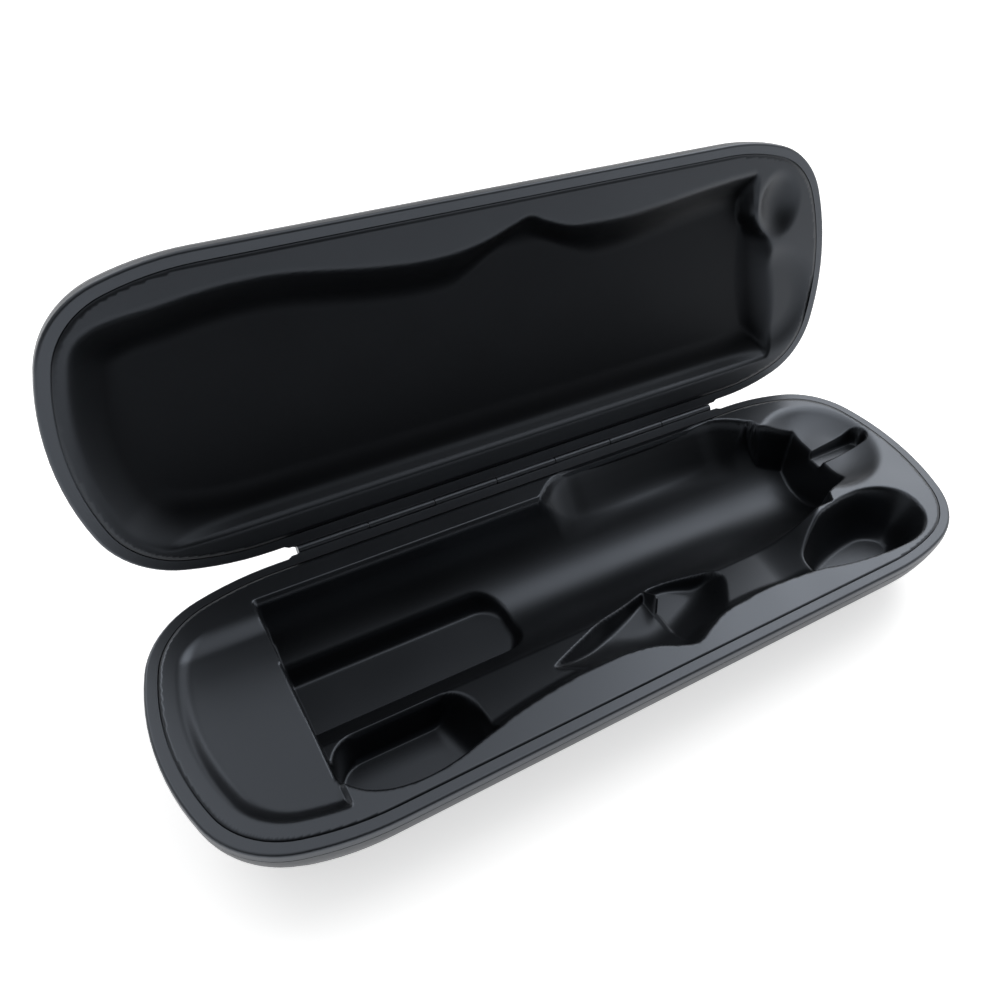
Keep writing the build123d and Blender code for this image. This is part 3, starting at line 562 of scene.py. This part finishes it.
def formed_plastic(name, hex_colour, roughness, sheen, painted_shade_well_sheen, mouth):
    """The same plastic as a formed sheet, with its sheen lowered with depth: a painted shade that
    keeps the wells dark.
    """
    material = moulded_plastic(name, hex_colour, roughness, sheen)
    tree = material.node_tree
    place = next(node for node in tree.nodes if node.type == "TEX_COORD")
    up = mouth.to_3x3() @ Vector((0, 0, 1))
    level = mouth.translation.dot(up) * MM
    height = add_node(tree, "ShaderNodeVectorMath",
                      {"operation": "DOT_PRODUCT", "Vector_001": up},
                      Vector=place.outputs["Object"])
    # Painted shade: the sheen falls with depth below the mouth, so the wells render dark.
    drawn = add_node(tree, "ShaderNodeMapRange",
                     {"From Min": level - SHADE_FULL_MM * MM, "From Max": level - SHADE_START_MM * MM,
                      "To Min": painted_shade_well_sheen, "To Max": sheen}, Value=height.outputs["Value"])
    tree.links.new(drawn.outputs["Result"],
                   tree.nodes["Principled BSDF"].inputs["Specular IOR Level"])
    return material


def ground_steel(name):
    """Ground steel: a bright grey metal with soft highlights."""
    return plain_material(name, Base_Color=linear("#C4C4C6"), Metallic=1.0, Roughness=0.3)[0]


# ---- floor, light and camera
FLOOR_HALF_M = 6.0
FLOOR_GLOW = 0.62  # the floor's own light, for the rays that show it as the white background

# The studio's light by direction: the axis, from where to where along it, and how strong at each.
STUDIO_LIGHT = {"above": ("Z", 0.35, 0.85, 0.1, 0.88), "behind": ("Y", -0.6, 0.0, 0.0, 1.0),
                "horizon": ("Z", 0.0, 0.22, 1.2, 0.0), "right": ("X", 0.45, 0.85, 0.0, 0.7)}

# Area lamps: name, place in metres, side in metres and power in watts.
LAMPS = (("overhead", (0.45, 0.1, 0.89), 0.5, 1.2), ("right_back", (0.95, 0.6, 0.9), 0.7, 4.0),
         ("left_back", (-0.35, 0.95, 0.7), 0.6, 2.8))

# The camera: its place in millimetres, and the directions of its right side and its view.
CAMERA_PLACE = (-112.44, -151.33, 208.75 + BASE_DEPTH)
CAMERA_RIGHT = (0.826, -0.552, 0.111)
CAMERA_VIEW = (0.478, 0.582, -0.658)
CAMERA_LENS = {"sensor_width": 36, "lens": 35.8, "shift_x": -0.1505, "shift_y": -0.0463,
               "clip_start": 0.01, "clip_end": 50}


def raised_to_white(tree, path, rays, level):
    """The level, raised to 1 for the named kinds of ray."""
    for ray in rays:
        level = add_node(tree, "ShaderNodeMath", {"operation": "MAXIMUM"}, Value=level,
                         Value_001=path.outputs[ray]).outputs["Value"]
    return level


def lay_floor(scene):
    """A flat white floor, which keeps the shadow of the case."""
    paper, shader = plain_material("white_paper_sweep", Base_Color=linear("#FFFFFF"),
                                   Roughness=0.9, Emission_Color=(1, 1, 1, 1))
    tree = paper.node_tree
    path = add_node(tree, "ShaderNodeLightPath")
    seen = raised_to_white(tree, path, ("Is Glossy Ray", "Is Transmission Ray"),
                           path.outputs["Is Camera Ray"])
    glow = add_node(tree, "ShaderNodeMath", {"operation": "MULTIPLY", "Value_001": FLOOR_GLOW},
                    Value=seen)
    tree.links.new(glow.outputs["Value"], shader.inputs["Emission Strength"])
    grid = bmesh.new()
    bmesh.ops.create_grid(grid, x_segments=1, y_segments=1, size=FLOOR_HALF_M)
    mesh = bpy.data.meshes.new("floor")
    grid.to_mesh(mesh)
    grid.free()
    mesh.materials.append(paper)
    floor = bpy.data.objects.new("floor", mesh)
    scene.collection.objects.link(floor)


def light_studio(scene):
    """The world and the lamps."""
    world = bpy.data.worlds.new("studio")
    world.use_nodes = True
    tree = world.node_tree
    place = add_node(tree, "ShaderNodeTexCoord")
    apart = add_node(tree, "ShaderNodeSeparateXYZ", Vector=place.outputs["Generated"])
    light = {}
    for name, (axis, start, stop, low, high) in STUDIO_LIGHT.items():
        band = add_node(tree, "ShaderNodeMapRange", {"From Min": start, "From Max": stop,
                                                     "To Min": low, "To Max": high},
                        Value=apart.outputs[axis])
        light[name] = band.outputs["Result"]
    glow = add_node(tree, "ShaderNodeMath", {"operation": "MULTIPLY_ADD"}, Value=light["above"],
                    Value_001=light["behind"], Value_002=light["right"])
    strength = add_node(tree, "ShaderNodeMath", {"operation": "ADD"},
                        Value=glow.outputs["Value"], Value_001=light["horizon"])
    # The studio's own light is what gloss shows: white at the horizon, dark in front, bright above.
    # Behind the case, and through anything clear, the background is plain white.
    path = add_node(tree, "ShaderNodeLightPath")
    level = raised_to_white(tree, path, ("Is Camera Ray", "Is Transmission Ray"),
                            strength.outputs["Value"])
    tree.links.new(level, tree.nodes["Background"].inputs["Strength"])
    tree.nodes["Background"].inputs["Color"].default_value = (1, 1, 1, 1)
    scene.world = world
    for name, reach, size, power in LAMPS:
        lamp = bpy.data.lights.new(name, "AREA")
        lamp.size = size
        lamp.energy = power
        holder = bpy.data.objects.new(name, lamp)
        holder.location = Vector(reach)
        holder.rotation_euler = Vector(reach).to_track_quat("Z", "Y").to_euler()
        scene.collection.objects.link(holder)


def place_camera(scene):
    """The camera, at the left front and above."""
    camera = bpy.data.cameras.new("camera")
    for key, value in CAMERA_LENS.items():
        setattr(camera, key, value)
    eye = bpy.data.objects.new("camera", camera)
    scene.collection.objects.link(eye)
    right = Vector(CAMERA_RIGHT).normalized()
    forward = Vector(CAMERA_VIEW)
    forward = (forward - right * forward.dot(right)).normalized()
    turn = Matrix((right, right.cross(forward), -forward)).transposed().to_4x4()
    eye.matrix_world = Matrix.Translation(Vector(CAMERA_PLACE) * MM) @ turn
    scene.camera = eye


# ---- operators
class CASE_OT_tray(bpy.types.Operator):
    """Forms the tray of the base"""
    bl_idname = "case.tray"
    bl_label = "Tray"

    def execute(self, context):
        # The low sheen in the wells is a painted shade.
        finish = formed_plastic("satin_formed_sheet_tray", context.scene.case_finish.tray_colour,
                                roughness=0.34, sheen=1.0, painted_shade_well_sheen=0.66, mouth=BASE_MOUTH)
        sheet = formed_sheet(TRAY_WELLS, TRAY_CREASES, cell=0.5, gap=0.3, wall=1.2)
        new_piece("formed_tray", sheet, BASE_MOUTH, "base", finish, "base_tray")
        return {"FINISHED"}


class CASE_OT_liner(bpy.types.Operator):
    """Forms the liner of the lid"""
    bl_idname = "case.liner"
    bl_label = "Liner"

    def execute(self, context):
        finish = formed_plastic("satin_formed_sheet_liner", context.scene.case_finish.liner_colour,
                                roughness=0.4, sheen=0.6, painted_shade_well_sheen=0.12, mouth=LID_MOUTH)
        sheet = formed_sheet(LINER_WELLS, LINER_CREASES, cell=0.7, gap=0.3, wall=0.8)
        new_piece("formed_liner", sheet, LID_MOUTH, "lid", finish, "lid_liner")
        return {"FINISHED"}


class CASE_OT_hard_parts(bpy.types.Operator):
    """Gives the shells, rims, strips, pin and magnets their finish"""
    bl_idname = "case.hard_parts"
    bl_label = "Hard parts"

    def execute(self, context):
        colours = context.scene.case_finish
        shell = moulded_plastic("satin_moulded_abs_shell", colours.shell_colour, roughness=0.42,
                                sheen=0.8)
        rim = moulded_plastic("satin_moulded_abs_rim", colours.rim_colour, roughness=0.38,
                              sheen=1.0)
        steel = ground_steel("ground_steel_pin")
        for name, node in frame["nodes"].items():
            metal = name == "hinge_pin" or "magnets" in name
            node.data.materials.clear()
            node.data.materials.append(shell if "shell" in name else steel if metal else rim)
        return {"FINISHED"}


class CASE_OT_stage(bpy.types.Operator):
    """Floor, light and camera"""
    bl_idname = "case.stage"
    bl_label = "Stage"

    def execute(self, context):
        lay_floor(context.scene)
        light_studio(context.scene)
        place_camera(context.scene)
        context.scene.view_settings.view_transform = "Standard"
        return {"FINISHED"}


class CASE_PT_panel(bpy.types.Panel):
    """Lists the steps of the travel case"""
    bl_idname = "CASE_PT_panel"
    bl_label = "Travel case"
    bl_space_type = "VIEW_3D"
    bl_region_type = "UI"
    bl_category = "Travel Case"

    def draw(self, context):
        for name in STEPS:
            self.layout.operator("case." + name)


CLASSES = (OutlineSettings, FinishSettings, CASE_OT_tray, CASE_OT_liner, CASE_OT_hard_parts,
           CASE_OT_stage, CASE_PT_panel)
STEPS = ("stage", "hard_parts", "tray", "liner")


def register():
    for cls in CLASSES:
        bpy.utils.register_class(cls)
    bpy.types.Scene.case_outline = bpy.props.PointerProperty(type=OutlineSettings)
    bpy.types.Scene.case_finish = bpy.props.PointerProperty(type=FinishSettings)


def unregister():
    del bpy.types.Scene.case_outline
    del bpy.types.Scene.case_finish
    for cls in reversed(CLASSES):
        bpy.utils.unregister_class(cls)


def main():
    """Runs every step."""
    register()
    for name in STEPS:
        getattr(bpy.ops.case, name)()


if __name__ == "__main__":
    main()
